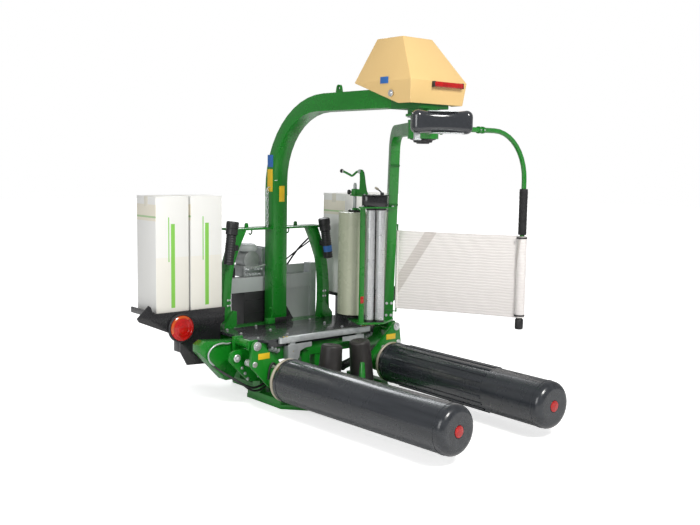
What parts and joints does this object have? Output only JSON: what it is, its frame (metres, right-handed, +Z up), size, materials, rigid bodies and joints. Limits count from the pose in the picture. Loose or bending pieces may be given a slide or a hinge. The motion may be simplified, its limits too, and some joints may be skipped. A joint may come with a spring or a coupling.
{
  "type": "three-point bale wrapper",
  "caption": "Satellite bale wrapper: an arched column carries a turning film arm with stretcher and guard over two swinging driven rollers.",
  "frame": {"origin": "centre of the bounding box on the floor under the base", "axes": "+X to the right seen from behind the machine, +Y forwards to the tractor, +Z up"},
  "size_m": [2.46, 2.6795, 2.41],
  "materials": {
    "green_paint": "glossy green powder coat",
    "hood_cream": "satin cream-yellow moulded hood",
    "galvanised": "dull zinc",
    "bright_steel": "machined, bright",
    "black_plastic": "black moulded plastic",
    "black_rubber": "smooth black rubber over a cast weight",
    "black_paint": "satin black paint",
    "black_foam": "closed-cell foam sleeve",
    "grey_roller": "dark grey, smooth, semi-gloss",
    "deck_grey": "dark grey, glossy",
    "carton": "white printed carton, matte",
    "film": "wound stretch film, grey-green",
    "guard_cloth": "off-white coated mesh",
    "red_lens": "red reflector",
    "lamp_lens": "red and amber lens"
  },
  "bodies": {
    "base": {"base_frame": "green_paint", "deck_plate": "deck_grey", "bale_stop_bar": "galvanised", "column_arch": "green_paint", "head_gearbox": "green_paint", "hood": "hood_cream", "hood_light_bar": "red_lens", "left_brace": "green_paint", "right_brace": "green_paint", "top_crossbar": "green_paint", "left_storage_tube": "black_plastic", "right_storage_tube": "black_plastic", "left_box_carrier": "black_paint", "right_box_carrier": "black_paint", "film_box_left_inner": "carton", "film_box_left_outer": "carton", "film_box_right_inner": "carton", "film_box_right_outer": "carton", "left_tail_light": "lamp_lens", "right_tail_light": "lamp_lens", "hitch_frame": "galvanised", "hydraulic_housing": "black_plastic", "valve_block": "bright_steel"},
    "satellite": {"satellite_arm": "green_paint", "counterweight": "black_rubber", "stretch_frame": "green_paint", "gear_cover": "black_plastic", "film_clamp": "green_paint", "safety_arm": "green_paint", "foam_bar": "black_foam", "guard_sheet": "guard_cloth"},
    "film_roll": {"film_roll": "film"},
    "stretch_roller_slow": {"stretch_roller_slow": "bright_steel"},
    "stretch_roller_fast": {"stretch_roller_fast": "bright_steel"},
    "left_arm": {"left_swing_arm": "green_paint"},
    "left_roller": {"left_wrap_roller": "grey_roller"},
    "left_barrel": {"left_cylinder_barrel": "green_paint"},
    "left_rod": {"left_cylinder_rod": "bright_steel"},
    "left_cone": {"left_guide_cone": "grey_roller"},
    "right_arm": {"right_swing_arm": "green_paint"},
    "right_roller": {"right_wrap_roller": "grey_roller"},
    "right_barrel": {"right_cylinder_barrel": "green_paint"},
    "right_rod": {"right_cylinder_rod": "bright_steel"},
    "right_cone": {"right_guide_cone": "grey_roller"}
  },
  "joints": [
    {"name": "satellite_spin", "type": "hinge", "parent": "base", "child": "satellite", "pos_m": [0, -0.585, 1.945], "axis": [0, 0, 1], "continuous": true},
    {"name": "film_roll_spin", "type": "hinge", "parent": "satellite", "child": "film_roll", "pos_m": [0.346, 0.445, 0.535], "axis": [0, 0, 1], "continuous": true},
    {"name": "slow_roller_spin", "type": "hinge", "parent": "satellite", "child": "stretch_roller_slow", "pos_m": [0.332, 0.251, 0.5], "axis": [0, 0, 1], "continuous": true},
    {"name": "fast_roller_spin", "type": "hinge", "parent": "satellite", "child": "stretch_roller_fast", "pos_m": [0.389, 0.204, 0.5], "axis": [0, 0, 1], "continuous": true},
    {"name": "left_arm_swing", "type": "hinge", "parent": "base", "child": "left_arm", "pos_m": [-0.63, 0.3, 0.43], "axis": [0, 1, 0], "range_deg": [0, 65]},
    {"name": "left_roller_spin", "type": "hinge", "parent": "left_arm", "child": "left_roller", "pos_m": [-0.47, 0.16, 0.204], "axis": [0.0332, -0.9995, 0], "continuous": true},
    {"name": "left_cylinder_tilt", "type": "hinge", "parent": "base", "child": "left_barrel", "pos_m": [-0.15, 0.337, 0.18], "axis": [0, 1, 0], "range_deg": [-0.5, 7]},
    {"name": "left_cylinder_stroke", "type": "slide", "parent": "left_barrel", "child": "left_rod", "axis": [-0.9678, 0, 0.2516], "range_m": [-0.001, 0.126]},
    {"name": "left_cone_spin", "type": "hinge", "parent": "base", "child": "left_cone", "pos_m": [-0.167, 0.115, 0], "axis": [0.1045, 0, 0.9945], "continuous": true},
    {"name": "right_arm_swing", "type": "hinge", "parent": "base", "child": "right_arm", "pos_m": [0.63, 0.3, 0.43], "axis": [0, -1, 0], "range_deg": [0, 65]},
    {"name": "right_roller_spin", "type": "hinge", "parent": "right_arm", "child": "right_roller", "pos_m": [0.47, 0.16, 0.204], "axis": [-0.0332, -0.9995, 0], "continuous": true},
    {"name": "right_cylinder_tilt", "type": "hinge", "parent": "base", "child": "right_barrel", "pos_m": [0.15, 0.337, 0.18], "axis": [0, -1, 0], "range_deg": [-0.5, 7]},
    {"name": "right_cylinder_stroke", "type": "slide", "parent": "right_barrel", "child": "right_rod", "axis": [0.9678, 0, 0.2516], "range_m": [-0.001, 0.126]},
    {"name": "right_cone_spin", "type": "hinge", "parent": "base", "child": "right_cone", "pos_m": [0.167, 0.115, 0], "axis": [-0.1045, 0, 0.9945], "continuous": true}
  ],
  "couplings": [
    {"joint": "fast_roller_spin", "follows": "slow_roller_spin", "ratio": -1.7},
    {"joint": "left_cylinder_tilt", "follows": "left_arm_swing", "ratio": 0.068},
    {"joint": "left_cylinder_stroke", "follows": "left_arm_swing", "m_per_rad": 0.109},
    {"joint": "right_cylinder_tilt", "follows": "right_arm_swing", "ratio": 0.068},
    {"joint": "right_cylinder_stroke", "follows": "right_arm_swing", "m_per_rad": 0.109}
  ]
}
